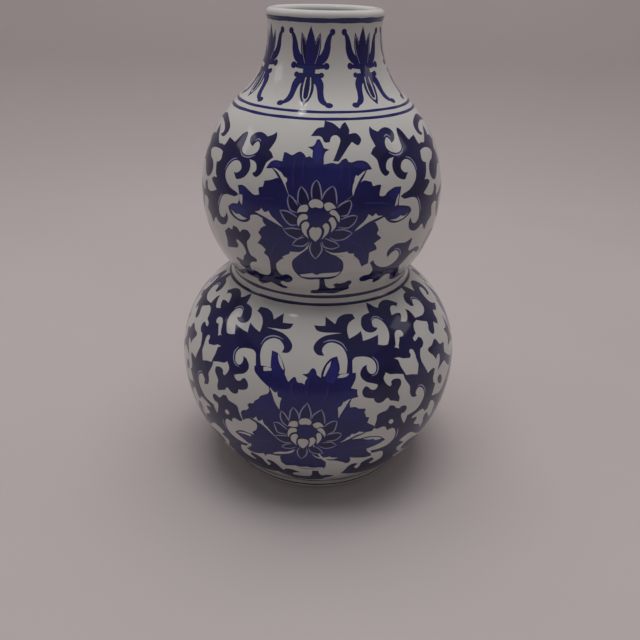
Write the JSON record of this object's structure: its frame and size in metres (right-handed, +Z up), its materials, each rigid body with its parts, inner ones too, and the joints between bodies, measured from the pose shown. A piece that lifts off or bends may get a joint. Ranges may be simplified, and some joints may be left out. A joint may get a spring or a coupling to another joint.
{
  "type": "double gourd vase",
  "caption": "Porcelain double gourd vase with a round lower bulb, a smaller upper bulb, a short flaring neck with a rolled lip, and a recessed foot; it holds water and flower stems.",
  "frame": {"origin": "centre of the foot ring's resting face, on the surface that the vase stands on", "axes": "+Z up along the vase's axis of turning; -Y faces the viewer"},
  "size_m": [0.155, 0.155, 0.25],
  "materials": {
    "biscuit": "matte",
    "slip": "matte",
    "clear_glaze": "gloss",
    "painted_glaze": "gloss"
  },
  "bodies": {
    "root": {"foot_ring": "biscuit", "foot_lute": "slip", "lower_bowl": "biscuit", "lower_belly_lute": "slip", "lower_shoulder": "biscuit", "waist_lute": "slip", "upper_bowl": "biscuit", "upper_belly_lute": "slip", "upper_shoulder": "biscuit", "neck_lute": "slip", "neck": "biscuit", "outer_glaze": "painted_glaze", "inner_glaze": "clear_glaze", "base_glaze": "clear_glaze"}
  },
  "joints": []
}
